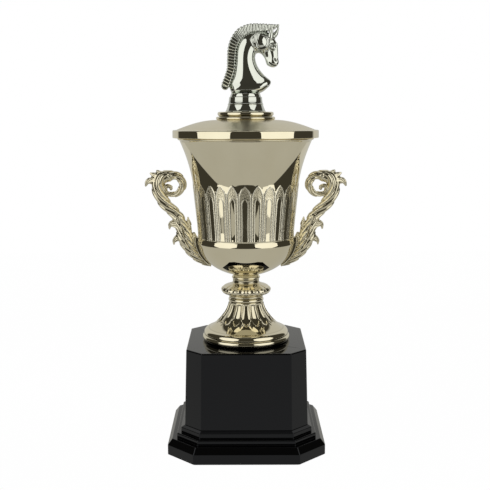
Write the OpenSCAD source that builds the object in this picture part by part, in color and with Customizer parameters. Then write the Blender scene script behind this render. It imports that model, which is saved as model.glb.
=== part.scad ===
// Cup trophy: black stepped base, metal foot and knop, flared cup with two
// cast scroll handles, loose domed lid with a horse head figure on top.
// Units are millimetres. +Z is up, the base stands on z = 0, and the
// horse looks along +X. One tie rod pulls base, foot, knop and cup together.

/* [Plinth] */
// Width of the plinth over its flat sides
plinth_w = 150; // [120:1:190]
// Height of the plinth's upright edge above the felt
plinth_edge_h = 9.5; // [6:0.1:16]
// Height of the slope above the upright edge
plinth_slope_h = 5.7; // [3:0.1:9]
// Height of each of the two steps under the column
step_h = 5; // [3:0.1:8]
// Height of the small slope the column stands on
seat_h = 1.7; // [1:0.1:4]
// Extra reach of the chamfered corners over the half width
corner_reach = 12.8; // [8:0.1:16]
// Wall thickness of the black mouldings
moulding_wall = 3; // [2:0.1:5]
// Thickness of the felt under the plinth
felt_t = 0.8; // [0.5:0.1:2]
// Thickness of the cast ballast plate
ballast_t = 10; // [6:0.5:14]

/* [Column] */
// Width of the column at its foot
column_w = 117.6; // [100:0.2:140]
// Width of the column at its top
column_top_w = 113.6; // [95:0.2:135]
// Height of the column
column_h = 73.8; // [50:0.2:120]

/* [Foot and knop] */
// Radius of the foot's lower ring
foot_r = 43; // [36:0.1:50]
// Radius of the waist where foot and knop meet
waist_r = 16.8; // [14:0.1:20]
// Height of the fluted cone above the foot rings
cone_h = 26.4; // [18:0.1:36]
// Number of flutes round the cone
flute_count = 16; // [8:1:24]
// Largest radius of the knop
knop_r = 23.9; // [20:0.1:30]
// Height of the knop from its lower edge to its neck
knop_h = 12.3; // [9:0.1:18]
// Number of petals round the knop
petal_count = 16; // [8:1:24]
// Radius of the neck under the cup
neck_r = 12.9; // [11:0.1:16]

/* [Cup] */
// Outer radius of the cup where the round bottom meets the wall
cup_r = 46.3; // [38:0.1:56]
// Depth of the round bottom
cup_bottom_h = 38; // [30:0.1:50]
// Height of the wall above the round bottom
cup_wall_h = 102.3; // [80:0.1:125]
// Outward draft of the wall per millimetre of height
cup_draft = 0.104; // [0.02:0.001:0.15]
// Extra radius of the flared mouth
mouth_flare = 11.3; // [4:0.1:18]
// Thickness of the cup's sheet metal
cup_t = 1.2; // [0.8:0.1:2]

/* [Handles] */
// Thickness of the cast handles
handle_t = 10.6; // [7:0.1:14]
// Centre of the scroll, out from the cup's wall
scroll_gap = 23.7; // [20:0.1:32]
// Centre of the scroll above the cup's widest round
scroll_up = 51.7; // [44:0.1:60]
// Radius of the scroll's centre line
scroll_r = 8.8; // [7:0.1:11]
// Angle that a handle's pad covers on the cup
pad_angle = 12; // [8:1:20]

/* [Lid] */
// How far the lid's band stands out past the mouth
lid_over = 2.4; // [1.5:0.05:5]
// Height of the lid's band
lid_band_h = 7.3; // [5:0.1:12]
// Rise of the dome above the band
dome_h = 9.5; // [5:0.1:20]
// Thickness of the lid's sheet metal
lid_t = 1; // [0.8:0.1:2]
// Radius of the collar's lower ring
collar_r = 28.3; // [22:0.1:34]

/* [Finial] */
// Radius of the pedestal's foot
pedestal_r = 19.3; // [16:0.1:24]
// Height of the pedestal
pedestal_h = 17.4; // [12:0.1:26]
// Height of the horse head above the pedestal
horse_h = 64.9; // [50:0.1:80]
// Thickness of the horse's neck
horse_t = 19; // [14:0.1:26]

/* [Fasteners] */
// Radius of the tie rod
rod_r = 3; // [2.5:0.5:4]
// Radius of the finial stud
stud_r = 2.5; // [2:0.5:3]
// Radius of the handle screws
screw_r = 1.5; // [1.25:0.25:2]

/* [Hidden] */
eps = 0.01;
rod_gap = 0.3;
fit_gap = 0.3;
pad_gap = 0.05;
arc_steps = 10;

// base levels
plinth_half = plinth_w / 2;
seat_half = column_w / 2 + 0.4;
plinth_run = plinth_half - seat_half;
slope_half = plinth_half - 0.275 * plinth_run;
step1_half = plinth_half - 0.55 * plinth_run;
step2_half = plinth_half - 0.8 * plinth_run;
z_edge = felt_t + plinth_edge_h;
z_slope = z_edge + plinth_slope_h;
z_step1 = z_slope + step_h;
z_step2 = z_step1 + step_h;
z_column = z_step2 + seat_h;
z_foot = z_column + column_h;
plinth_top_t = 3.5;
spigot_h = 3;
column_top_t = 5;
edge_break = 1.2;
z_ballast = z_column - plinth_top_t - ballast_t;
washer_t = 1.6;
nut_h = 5;
nut_across = rod_r * 3.33;

// foot and knop levels
ring_r = 3.2;
ring_z = z_foot + 3.4;
torus_r = 4.9;
torus_z = z_foot + 7.1;
torus_c = foot_r - 1.4 - torus_r;
z_cone = torus_z + torus_r;
z_beads = z_cone + cone_h;
bead1_r = 2;
bead2_r = 1.25;
z_knop = z_beads + 2 * bead1_r + 2 * bead2_r + 0.6;
knop_rim = 3.2;
knop_mid = z_knop + 0.38 * knop_h;
z_neck = z_knop + knop_h;
neck_h = 3;
floor_r = neck_r - 0.9;

// cup levels
z_floor = z_neck + neck_h + 4.6;
round_out = 1.8;
round_down = 2.4;
wall_ease = 6;
cup_full = pow(1 - pow(floor_r / cup_r, round_out), 1 / round_down);
z_cup = z_floor + cup_bottom_h * cup_full;
z_mouth = z_cup + cup_wall_h;
flare_h = cup_wall_h / 2 + 1;
bead_z = z_mouth - 7.3;

// lid levels
lid_r = cup_radius(z_mouth) + lid_over;
brim_in = 2.85;
dome_flat = 0.49 * lid_r;
z_lid = z_mouth + lid_t;
z_dome = z_lid + dome_h;
collar_low = 3.2;
collar_high = 4;
collar_gap = 0.5;
z_pedestal = z_dome + collar_low + collar_gap + collar_high;
z_horse = z_pedestal + pedestal_h;
ring_drop = 5.5;

function arc(x, y, r, a0, a1) =
    [for (i = [0 : arc_steps])
        let (a = a0 + (a1 - a0) * i / arc_steps)
        [x + r * cos(a), y + r * sin(a)]];

function bezier(p, n = 14) =
    [for (i = [0 : n])
        let (t = i / n, s = 1 - t)
        s * s * s * p[0] + 3 * s * s * t * p[1] + 3 * s * t * t * p[2] + t * t * t * p[3]];

// outer radius of the cup at a height
function cup_radius(z) =
    z < z_cup
        ? cup_r * pow(max(0, 1 - pow((z_cup - z) / cup_bottom_h, round_down)), 1 / round_out)
        : cup_r + cup_draft * (z - z_cup - wall_ease * (1 - exp((z_cup - z) / wall_ease)))
            + mouth_flare * pow(max(0, (z - z_mouth + flare_h) / flare_h), 1.85);

// downward tilt of the cup's skin at a height in the round bottom
function cup_tilt(z) =
    atan2(
        round_down / cup_bottom_h * pow((z_cup - z) / cup_bottom_h, round_down - 1),
        round_out / cup_r * pow(cup_radius(z) / cup_r, round_out - 1));

// outline of the cup's skin between two heights, grown outward by d
function cup_skin(z0, z1, d, n) =
    [for (i = [0 : n])
        let (z = z0 + (z1 - z0) * i / n, a = z < z_cup ? cup_tilt(z) : 0)
        [cup_radius(z) + d * cos(a), z - d * sin(a)]];

// skin of the round bottom by equal angles, grown outward by d
function cup_round(d, n) =
    let (a0 = asin(pow(floor_r / cup_r, round_out / 2)))
    [for (i = [0 : n])
        let (a = a0 + (90 - a0) * i / n)
        [(cup_r + d) * pow(sin(a), 2 / round_out),
         z_cup - (cup_bottom_h + d) * pow(abs(cos(a)), 2 / round_down)]];

// solid with chamfered square sections from a profile of [half width, height]
module oct_solid(pts, reach = corner_reach) {
    intersection_for (k = [0 : 3]) {
        grow = k % 2 == 0 ? 0 : reach;
        side = concat(
            [for (p = pts) [p[0] + grow, p[1]]],
            [for (i = [len(pts) - 1 : -1 : 0]) [-pts[i][0] - grow, pts[i][1]]]);
        rotate([0, 0, 45 * k])
            rotate([90, 0, 0])
                linear_extrude(height = 3 * plinth_w, center = true)
                    polygon(side);
    }
}

module ring_of(n) {
    for (i = [0 : n - 1])
        rotate([0, 0, 360 * i / n])
            children();
}

module hex_nut(across, bore, h) {
    difference() {
        cylinder(r = across / 2 / cos(30), h = h, $fn = 6);
        translate([0, 0, -1])
            cylinder(r = bore, h = h + 2, $fn = 48);
    }
}

module washer(outer, bore, h) {
    difference() {
        cylinder(r = outer, h = h, $fn = 64);
        translate([0, 0, -1])
            cylinder(r = bore, h = h + 2, $fn = 48);
    }
}

module hole(r, z0, z1) {
    translate([0, 0, z0])
        cylinder(r = r, h = z1 - z0, $fn = 64);
}

module base_felt() {
    color("DarkGreen")
        oct_solid([[plinth_half - 1.5, 0], [plinth_half - 1.5, felt_t]]);
}

module plinth() {
    color([0.04, 0.04, 0.045])
    difference() {
        union() {
            oct_solid([
                [plinth_half, felt_t], [plinth_half, z_edge],
                [slope_half, z_slope], [step1_half, z_slope],
                [step1_half, z_step1 - edge_break],
                [step1_half - edge_break, z_step1], [step2_half, z_step1],
                [step2_half, z_step2 - edge_break / 2],
                [step2_half - edge_break / 2, z_step2], [seat_half, z_column]]);
            // raised key that centres the column
            oct_solid([
                [column_w / 2 - moulding_wall - fit_gap, z_column - eps],
                [column_w / 2 - moulding_wall - fit_gap - 0.2, z_column + spigot_h]]);
        }
        oct_solid([
            [plinth_half - moulding_wall, felt_t - 1],
            [plinth_half - moulding_wall, z_edge - moulding_wall]]);
        oct_solid([
            [min(step2_half, seat_half + 3) - moulding_wall, felt_t],
            [min(step2_half, seat_half + 3) - moulding_wall, z_column - plinth_top_t]]);
        hole(rod_r + rod_gap, 0, z_column + 10);
    }
}

module ballast() {
    half = min(step2_half, seat_half + 3) - moulding_wall - fit_gap;
    color("DimGray")
    difference() {
        oct_solid([[half, z_ballast], [half, z_ballast + ballast_t]]);
        hole(rod_r + 1, 0, z_column);
    }
}

module column() {
    half = column_w / 2;
    top = column_top_w / 2;
    color([0.04, 0.04, 0.045])
    difference() {
        oct_solid([
            [half, z_column], [top, z_foot - edge_break],
            [top - edge_break, z_foot]]);
        oct_solid([
            [half - moulding_wall, z_column - 1],
            [top - moulding_wall, z_foot - column_top_t]]);
        hole(rod_r + rod_gap, z_column, z_foot + 1);
    }
}

module tie_rod() {
    z0 = z_ballast - washer_t - nut_h - 2;
    z1 = z_floor + cup_t + washer_t + nut_h + 3;
    color("Silver")
        translate([0, 0, z0])
            cylinder(r = rod_r, h = z1 - z0, $fn = 48);
}

module base_washer() {
    color("Silver")
        translate([0, 0, z_ballast - washer_t])
            washer(rod_r * 3, rod_r + rod_gap, washer_t);
}

module base_nut() {
    color("Silver")
        translate([0, 0, z_ballast - washer_t - nut_h])
            hex_nut(nut_across, rod_r, nut_h);
}

module foot() {
    cone = bezier([
        [torus_c, z_cone],
        [waist_r + 0.61 * (torus_c - waist_r), z_cone + 0.17 * cone_h],
        [waist_r + 1, z_cone + 0.55 * cone_h],
        [waist_r, z_beads]]);
    outer = concat(
        [[0, z_foot]],
        arc(foot_r - ring_r, ring_z, ring_r, -80, 70),
        arc(torus_c, torus_z, torus_r, 0, 86),
        cone,
        arc(waist_r - 1.5, z_beads + bead1_r, bead1_r, -70, 70),
        arc(waist_r - 1.1, z_beads + 2 * bead1_r + bead2_r + 0.3, bead2_r, -60, 75),
        [[waist_r - 1.1, z_knop], [0, z_knop]]);
    inner = [
        [0, z_foot - 1], [foot_r - 5, z_foot - 1], [foot_r - 5, z_foot + 4],
        [torus_c - 4, z_foot + 8], [waist_r + 6.5, z_cone + 0.26 * cone_h],
        [waist_r - 1.2, z_cone + 0.6 * cone_h], [waist_r - 3.5, z_beads - 1],
        [0, z_beads - 1]];
    // each flute follows the cone from its low end to its high end
    low = [waist_r + 9.7, z_cone + 0.32 * cone_h];
    high = [waist_r + 0.1, z_beads - 0.06 * cone_h];
    chord = norm(high - low);
    bow = 0.06 * chord;
    bend = chord * chord / (8 * bow) + bow / 2;
    out = [high[1] - low[1], low[0] - high[0]] / chord;
    centre = (low + high) / 2 + (bend - bow) * out;
    from = atan2(high[1] - centre[1], high[0] - centre[0]) + 360;
    to = atan2(low[1] - centre[1], low[0] - centre[0]) + 360;
    color([0.86, 0.8, 0.6])
    difference() {
        rotate_extrude($fn = 96)
            polygon(outer);
        rotate_extrude($fn = 96)
            polygon(inner);
        ring_of(flute_count)
            translate([centre[0], 0, centre[1]])
                rotate([90, 0, 0])
                    rotate([0, 0, from])
                        rotate_extrude(angle = to - from, $fn = 96)
                            translate([bend, 0])
                                circle(r = 1.5, $fn = 32);
        hole(rod_r + rod_gap, z_foot, z_knop + 1);
    }
}

module knop() {
    rim = knop_r - knop_rim;
    outer = concat(
        [[0, z_knop], [waist_r - 1.2, z_knop]],
        arc(rim, knop_mid, knop_rim, -60, 60),
        [[neck_r, z_neck], [neck_r, z_neck + neck_h]],
        arc(neck_r - 0.4, z_neck + neck_h + 1.6, 1.3, -70, 70),
        [[neck_r - 0.3, z_floor - 0.6], [floor_r, z_floor], [0, z_floor]]);
    color([0.86, 0.8, 0.6])
    difference() {
        rotate_extrude($fn = 96)
            polygon(outer);
        // dimples that part the petals round the rim
        ring_of(petal_count)
            translate([knop_r + 0.6, 0, knop_mid])
                sphere(r = 1.4, $fn = 32);
        hole(rod_r + rod_gap, z_knop - 1, z_floor + 1);
    }
}

module bowl() {
    outer = concat(
        [[0, z_floor]],
        cup_round(0, 18),
        cup_skin(z_cup + 6, z_mouth, 0, 26),
        [[cup_radius(z_mouth) - cup_t, z_mouth]]);
    inner = concat(
        [for (i = [26 : -1 : 0])
            let (z = z_cup + 6 + (z_mouth - z_cup - 6) * i / 26)
            [cup_radius(z) - cup_t, z]],
        [for (i = [18 : -1 : 0]) cup_round(-cup_t, 18)[i]],
        [[0, z_floor + cup_t]]);
    color([0.86, 0.8, 0.6])
    difference() {
        union() {
            rotate_extrude($fn = 96)
                polygon(concat(outer, inner));
            // rolled bead just under the mouth
            rotate_extrude($fn = 96)
                translate([cup_radius(bead_z) + 0.2, bead_z])
                    circle(r = 0.95, $fn = 32);
        }
        hole(rod_r + rod_gap, z_floor - 1, z_floor + cup_t + 1);
        both_sides()
            screw_axes()
                translate([0, 0, -6])
                    cylinder(r = screw_r + 0.2, h = 12, $fn = 32);
    }
}

module bowl_washer() {
    color("Silver")
        translate([0, 0, z_floor + cup_t])
            washer(rod_r * 3, rod_r + rod_gap, washer_t);
}

module bowl_nut() {
    color("Silver")
        translate([0, 0, z_floor + cup_t + washer_t])
            hex_nut(nut_across, rod_r, nut_h);
}

// heights of the two screws that hold a handle
screw_z = [z_cup - 6.6, z_cup - 19.6];

// places children on each screw axis of the right handle, +Z pointing out
module screw_axes() {
    for (z = screw_z)
        translate([cup_radius(z), 0, z])
            rotate([0, 90 + cup_tilt(z), 0])
                children();
}

module both_sides() {
    children();
    mirror([1, 0, 0])
        children();
}

// the right-hand casting; the left one is its mirror image
module handle_casting() {
    arm_r = handle_t / 2;
    curl_r = arm_r * 0.76;
    scroll = [cup_r + scroll_gap, z_cup + scroll_up];
    head = scroll + [3.6, -5.1];
    head_r = 14;
    head_end = -20;
    arm_bend = 39;
    arm_turn = 47.4;
    elbow = head + head_r * [cos(head_end), sin(head_end)];
    arm_c = head + (head_r - arm_bend) * [cos(head_end), sin(head_end)];
    curl_end = scroll + scroll_r * [cos(330), sin(330)];
    // leaf that carries the arm and hugs the cup, out and up from its corner
    leaf = [for (p = [
        [0.4, -1], [2.4, -3.4], [4.2, 1], [6.6, 7], [8.6, 13], [10.7, 20.4],
        [13, 20], [23, 18.6], [27.2, 15.9], [29.2, 12.6], [28.9, 9.4], [27.5, 7.4],
        [25.8, 9.2], [22, 10.2], [19.6, 6.3], [20.6, 3], [23.4, 1.6], [25.4, -1.2],
        [25.2, -4.8], [23.4, -7.4], [21.6, -6], [21, -4.1], [18.3, -7.1],
        [15.6, -11], [9.3, -19.2], [2.9, -24.9], [-2.3, -27.1], [-7.7, -27.4],
        [-10.4, -29.7], [-11.9, -28.9], [-9, -24.4], [-3, -16], [-0.4, -8]])
        [cup_r, z_cup] + p];
    difference() {
        union() {
            // scroll, from the top round past the cup side to its curl
            translate([scroll[0], 0, scroll[1]])
                rotate([90, 0, 0])
                    rotate([0, 0, 80])
                        rotate_extrude(angle = 250, $fn = 96)
                            translate([scroll_r, 0])
                                circle(r = curl_r, $fn = 48);
            translate([curl_end[0], 0, curl_end[1]])
                rotate([90, 0, 0])
                    sphere(r = curl_r * 1.1, $fn = 48);
            // shoulder between scroll and arm
            translate([head[0], 0, head[1]])
                rotate([90, 0, 0])
                    rotate([0, 0, head_end])
                        rotate_extrude(angle = 125, $fn = 96)
                            translate([head_r, 0])
                                circle(r = arm_r - 0.4, $fn = 48);
            translate([elbow[0], 0, elbow[1]])
                rotate([90, 0, 0])
                    sphere(r = arm_r + 0.3, $fn = 48);
            // arm down to the leaf
            translate([arm_c[0], 0, arm_c[1]])
                rotate([90, 0, 0])
                    rotate([0, 0, head_end - arm_turn])
                        rotate_extrude(angle = arm_turn, $fn = 96)
                            translate([arm_bend, 0])
                                circle(r = arm_r, $fn = 48);
            // three leaf tips on the outside of the shoulder
            for (tip = [[22, 120, 14.6], [6, 72, 10.5], [8, 34, 11]])
                translate([head[0] + 11.5, 0, head[1] + tip[0] / 3 + 4])
                    rotate([0, tip[1], 0])
                        cylinder(r1 = arm_r * 0.8, r2 = 0.8, h = tip[2], $fn = 48);
            rotate([90, 0, 0])
                linear_extrude(height = handle_t, center = true)
                    polygon(leaf);
            // pad that follows the cup
            rotate([0, 0, -pad_angle / 2])
                rotate_extrude(angle = pad_angle, $fn = 96)
                    polygon(concat(
                        cup_skin(screw_z[1] - 7, z_cup, pad_gap, 10),
                        cup_skin(z_cup, screw_z[1] - 7, 3.2, 10)));
        }
        // the cup's own round, kept clear of the casting
        rotate_extrude($fn = 96)
            polygon(concat(
                [[0, z_floor]],
                cup_round(pad_gap, 18),
                cup_skin(z_cup + 6, z_mouth, pad_gap, 26),
                [[0, z_mouth]]));
        screw_axes()
            translate([0, 0, -3])
                cylinder(r = screw_r, h = 10, $fn = 32);
    }
}

module handle_right() {
    color([0.85, 0.78, 0.55])
        handle_casting();
}

module handle_left() {
    color([0.85, 0.78, 0.55])
        mirror([1, 0, 0])
            handle_casting();
}

washer_low = -cup_t - 0.45;

module screw_pair() {
    screw_axes()
        union() {
            translate([0, 0, washer_low - 0.8 - 1.8])
                cylinder(r = screw_r * 1.9, h = 1.8, $fn = 48);
            translate([0, 0, washer_low - 0.8 - eps])
                cylinder(r = screw_r, h = 6.5 - washer_low, $fn = 32);
        }
}

module screw_washers() {
    screw_axes()
        translate([0, 0, washer_low - 0.8])
            washer(screw_r * 2.3, screw_r + 0.1, 0.8);
}

module handle_right_screws() {
    color("Silver")
        screw_pair();
}

module handle_left_screws() {
    color("Silver")
        mirror([1, 0, 0])
            screw_pair();
}

module handle_right_washers() {
    color("Silver")
        screw_washers();
}

module handle_left_washers() {
    color("Silver")
        mirror([1, 0, 0])
            screw_washers();
}

// inner edge of the slope where it turns into the flat top of the dome
dome_turn = lid_r - brim_in - dome_h / 0.365;

module lid() {
    foot_edge = lid_r - brim_in;
    dome = bezier([
        [foot_edge - 0.75 * dome_h / 0.365, z_lid + 0.75 * dome_h],
        [dome_turn + 2, z_dome - 0.3],
        [dome_turn, z_dome],
        [min(dome_flat, dome_turn - 6), z_dome]]);
    color([0.86, 0.8, 0.6])
    difference() {
        rotate_extrude($fn = 96)
            polygon(concat(
                [[lid_r - lid_t, z_lid - lid_band_h], [lid_r, z_lid - lid_band_h],
                 [lid_r, z_lid - 0.4], [lid_r - 0.4, z_lid], [foot_edge, z_lid]],
                dome,
                [[0, z_dome], [0, z_dome - lid_t]],
                [for (i = [len(dome) - 1 : -1 : 0]) dome[i] - [0, lid_t]],
                [[foot_edge, z_mouth], [lid_r - lid_t, z_mouth]]));
        hole(stud_r + fit_gap, z_lid, z_dome + 1);
    }
}

module locating_ring() {
    outer = cup_radius(z_mouth - ring_drop) - cup_t - 1;
    color([0.86, 0.8, 0.6])
        rotate_extrude($fn = 96)
            polygon([
                [outer - 1, z_mouth - ring_drop], [outer, z_mouth - ring_drop],
                [outer, z_mouth + 0.5], [outer - 1, z_mouth + 0.5]]);
}

module collar() {
    z1 = z_dome + collar_low;
    z2 = z1 + collar_gap;
    top_r = collar_r - 1.5;
    color([0.86, 0.8, 0.6])
    difference() {
        rotate_extrude($fn = 96)
            polygon(concat(
                [[0, z_dome], [collar_r - 0.5, z_dome]],
                arc(collar_r - 1.6, z_dome + collar_low / 2, 1.6, -60, 70),
                [[top_r - 1.2, z1 + 0.1], [top_r - 1.2, z2]],
                arc(top_r - 1.4, z2 + 1.6, 1.4, -70, 0),
                arc(top_r - 1.4, z_pedestal - 1.5, 1.4, 0, 80),
                [[0, z_pedestal]]));
        hole(stud_r + fit_gap, z_dome - 1, z_pedestal + 1);
    }
}

module pedestal() {
    waist = pedestal_r - 2.5;
    neck = pedestal_r - 5.6;
    h = pedestal_h;
    color([0.8, 0.8, 0.74])
    difference() {
        rotate_extrude($fn = 96)
            polygon(concat(
                [[0, z_pedestal], [pedestal_r - 0.4, z_pedestal],
                 [pedestal_r, z_pedestal + 0.6]],
                bezier([
                    [pedestal_r - 0.3, z_pedestal + 1],
                    [waist + 0.4, z_pedestal + 0.12 * h],
                    [waist - 0.1, z_pedestal + 0.2 * h],
                    [waist - 0.1, z_pedestal + 0.36 * h]]),
                arc(waist - 0.5, z_pedestal + 0.41 * h, 0.6, -60, 70),
                [[waist - 0.5, z_pedestal + 0.45 * h],
                 [waist - 1.1, z_pedestal + 0.76 * h],
                 [waist - 1.8, z_pedestal + 0.8 * h],
                 [neck + 0.8, z_pedestal + 0.92 * h],
                 [neck, z_horse], [0, z_horse]]));
        hole(stud_r + fit_gap, z_pedestal - 1, z_horse + 1);
    }
}

// the head in profile: s scales the figure with its height
module horse_head() {
    s = horse_h / 64.9;
    neck = [
        [-13, 0.6], [-5, 0], [5, 0], [15, 1.5], [20.6, 5.8], [24.6, 10.9],
        [17.5, 17.1], [13.1, 22.6], [9.9, 28.9], [9, 35.1], [10.6, 39],
        [21, 47], [21, 56], [8, 58.7], [-3, 55], [-9, 42.6], [-10, 28.9],
        [-11.5, 16.4], [-15, 7.7]];
    back = bezier([[-23.5, 5.8], [-13, 25], [-22, 49], [-4.6, 60.6]]);
    crest = bezier([[-4.6, 60.6], [2, 65.8], [18, 64.9], [32.7, 63.1]]);
    front = bezier([[29, 55], [14, 62], [-10, 58], [-9.4, 30]]);
    color([0.8, 0.8, 0.74])
    difference() {
        translate([0, 0, z_horse])
        scale(s)
        union() {
            rotate([90, 0, 0])
                linear_extrude(height = horse_t, center = true)
                    polygon(neck);
            // mane, a raised comb down the back of the neck
            rotate([90, 0, 0])
                linear_extrude(height = horse_t * 0.5, center = true)
                    polygon(concat(back, crest, front, [[-11, 16], [-14, 7]]));
            // cheek
            translate([15, 0, 47.5])
                rotate([90, 0, 0])
                    cylinder(r = 8, h = horse_t + 2, center = true, $fn = 64);
            // face and muzzle
            translate([19, 0, 48])
                rotate([0, 158, 0])
                    cylinder(r1 = 9.4, r2 = 6.2, h = 18, $fn = 64);
            translate([25.6, 0, 30])
                sphere(r = 6.2, $fn = 48);
            // ears
            for (side = [-1, 1])
                translate([22.5, side * 5, 51])
                    rotate([-side * 12, 14, 0])
                        cylinder(r1 = 3.4, r2 = 0.6, h = 9, $fn = 32);
            // eyes
            for (side = [-1, 1])
                translate([25.6, side * 6.8, 42])
                    sphere(r = 2.2, $fn = 32);
        }
        hole(stud_r, z_horse - 1, z_horse + 11);
    }
}

module finial_stud() {
    z0 = z_dome - lid_t - washer_t - 4.2 - 1.8;
    color("Silver")
        translate([0, 0, z0])
            cylinder(r = stud_r, h = z_horse + 10.5 - z0, $fn = 48);
}

module finial_washer() {
    color("Silver")
        translate([0, 0, z_dome - lid_t - washer_t])
            washer(stud_r * 3, stud_r + 0.2, washer_t);
}

module finial_nut() {
    color("Silver")
        translate([0, 0, z_dome - lid_t - washer_t - 4.2])
            hex_nut(stud_r * 3.2, stud_r, 4.2);
}

base_felt();
plinth();
ballast();
column();
tie_rod();
base_washer();
base_nut();
foot();
knop();
bowl();
bowl_washer();
bowl_nut();
handle_left();
handle_right();
handle_left_screws();
handle_right_screws();
handle_left_washers();
handle_right_washers();
lid();
locating_ring();
collar();
pedestal();
horse_head();
finial_stud();
finial_washer();
finial_nut();
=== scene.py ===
# %% [markdown]
# # A lidded cup trophy with a horse head
#
# The real object is a stack of plated and moulded pieces on one long rod: a
# gloss black base, a ringed foot and a petalled knop, a thin spun cup with a
# band of leaves pressed into it, two cast scroll handles, a loose domed lid
# and a bolted-on horse head. Nearly every surface is a mirror, so what we
# see is mostly the room. That is why this lesson spends its effort on two
# things: smooth, true shapes, and a room worth reflecting.
#
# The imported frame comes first. Its nodes give every place and size.

# %% Load the frame
import math

import bpy
import mathutils
import numpy as np
import openvdb
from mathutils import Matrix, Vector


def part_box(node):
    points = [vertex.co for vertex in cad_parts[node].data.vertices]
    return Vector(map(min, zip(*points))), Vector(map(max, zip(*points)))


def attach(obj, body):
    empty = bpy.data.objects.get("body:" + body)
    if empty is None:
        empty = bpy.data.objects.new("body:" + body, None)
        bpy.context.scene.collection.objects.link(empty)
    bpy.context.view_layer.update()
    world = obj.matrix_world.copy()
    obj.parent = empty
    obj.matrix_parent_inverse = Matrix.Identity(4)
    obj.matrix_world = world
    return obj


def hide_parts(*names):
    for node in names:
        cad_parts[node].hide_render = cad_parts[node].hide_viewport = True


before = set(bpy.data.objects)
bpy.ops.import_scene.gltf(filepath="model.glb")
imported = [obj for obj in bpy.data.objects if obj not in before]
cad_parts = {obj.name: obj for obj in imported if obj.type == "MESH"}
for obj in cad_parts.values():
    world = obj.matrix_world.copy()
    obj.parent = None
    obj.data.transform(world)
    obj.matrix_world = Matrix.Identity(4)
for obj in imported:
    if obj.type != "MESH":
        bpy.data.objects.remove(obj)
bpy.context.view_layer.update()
MM = 0.001


def low(node):
    """Lowest corner of a node, in millimetres."""
    return np.array(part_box(node)[0]) / MM


def high(node):
    """Highest corner of a node, in millimetres."""
    return np.array(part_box(node)[1]) / MM


# %% [markdown]
# ## Turning numbers into meshes
#
# Each piece is an array of points and arrays of faces made with NumPy.
# Filling a mesh from whole arrays is much faster than adding faces one by
# one, which matters when a relief has a hundred thousand of them.


# %% Make a piece from arrays
def add_piece(name, points, faces, body, slot, nodes, finish, marks=None):
    """points in mm, faces as a list of arrays of point numbers."""
    mesh = bpy.data.meshes.new(name)
    mesh.vertices.add(len(points))
    mesh.vertices.foreach_set("co", (np.asarray(points) * MM).astype(np.float32).ravel())
    corners = np.concatenate([f.ravel() for f in faces]).astype(np.int32)
    sizes = np.concatenate([np.full(len(f), f.shape[1], np.int32) for f in faces])
    mesh.loops.add(len(corners))
    mesh.loops.foreach_set("vertex_index", corners)
    mesh.polygons.add(len(sizes))
    starts = np.concatenate([[0], np.cumsum(sizes)[:-1]]).astype(np.int32)
    mesh.polygons.foreach_set("loop_start", starts)
    mesh.update(calc_edges=True)
    mesh.validate()
    mesh.shade_smooth()
    for key, values in (marks or {}).items():
        layer = mesh.attributes.new(key, "FLOAT", "POINT")
        layer.data.foreach_set("value", np.asarray(values, np.float32))
    mesh.materials.append(finish)
    piece = bpy.data.objects.new(name, mesh)
    bpy.context.scene.collection.objects.link(piece)
    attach(piece, body)
    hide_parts(*nodes)
    print(f"{name}: {len(points)} points, {len(sizes)} faces")
    return piece


# %% [markdown]
# ## Outlines with real edges
#
# A turned or moulded piece is an outline swept round the axis. On a mirror
# finish a dead sharp corner looks false, so each corner gets a small round.
# Extra points are set close beside each round: they keep the flats between
# them truly flat to the eye, because smooth shading then has no room to
# bend there.


# %% Round the corners of an outline
def rounded(corners, steps=4, guard=0.12):
    """corners: (radius, height, round) in mm, a closed loop. Returns points."""
    pts = [np.array(c[:2], float) for c in corners]
    out = []
    for i, here in enumerate(pts):
        r = corners[i][2] if len(corners[i]) > 2 else 0
        before, after = pts[i - 1] - here, pts[(i + 1) % len(pts)] - here
        la, lb = np.linalg.norm(before), np.linalg.norm(after)
        before, after = before / la, after / lb
        half = math.acos(np.clip(before @ after, -1, 1)) / 2
        if r == 0 or half > 1.56:
            out.append(here)
            continue
        cut = min(r / math.tan(half), 0.45 * la, 0.45 * lb)
        start, end = here + before * cut, here + after * cut
        room = min(guard, 0.04 * la, 0.04 * lb)
        out.append(start + before * room)
        for t in np.linspace(0, 1, steps + 1):
            out.append((1 - t) ** 2 * start + 2 * t * (1 - t) * here + t * t * end)
        out.append(end + after * room)
    return np.array(out)


def curve(a, b, c, d, n=24):
    """Points of a cubic Bezier curve."""
    t = np.linspace(0, 1, n)[:, None]
    a, b, c, d = (np.array(p, float) for p in (a, b, c, d))
    return (1 - t) ** 3 * a + 3 * (1 - t) ** 2 * t * b + 3 * (1 - t) * t**2 * c + t**3 * d


def arc(x, z, r, a0, a1, n=12):
    """Points of an arc in the outline's plane, angles in degrees."""
    a = np.radians(np.linspace(a0, a1, n))
    return np.stack([x + r * np.cos(a), z + r * np.sin(a)], 1)


def smooth(t):
    """0 to 1 with a soft start and end."""
    t = np.clip(t, 0, 1)
    return t * t * (3 - 2 * t)


# %% [markdown]
# ## Sweeping an outline round the axis
#
# `turned` walks up the outer side of a closed outline and back down the
# inner side, and makes one ring of points for each outline point. Rings may
# have different numbers of points, so a relief can be fine where it is
# needed and coarse elsewhere; the strip between two such rings is made of
# many-sided faces, which keeps the piece watertight. A relief function
# moves points by angle and height. That is how flutes, petals and pressed
# leaves become real shape instead of a trick in the finish.


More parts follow.
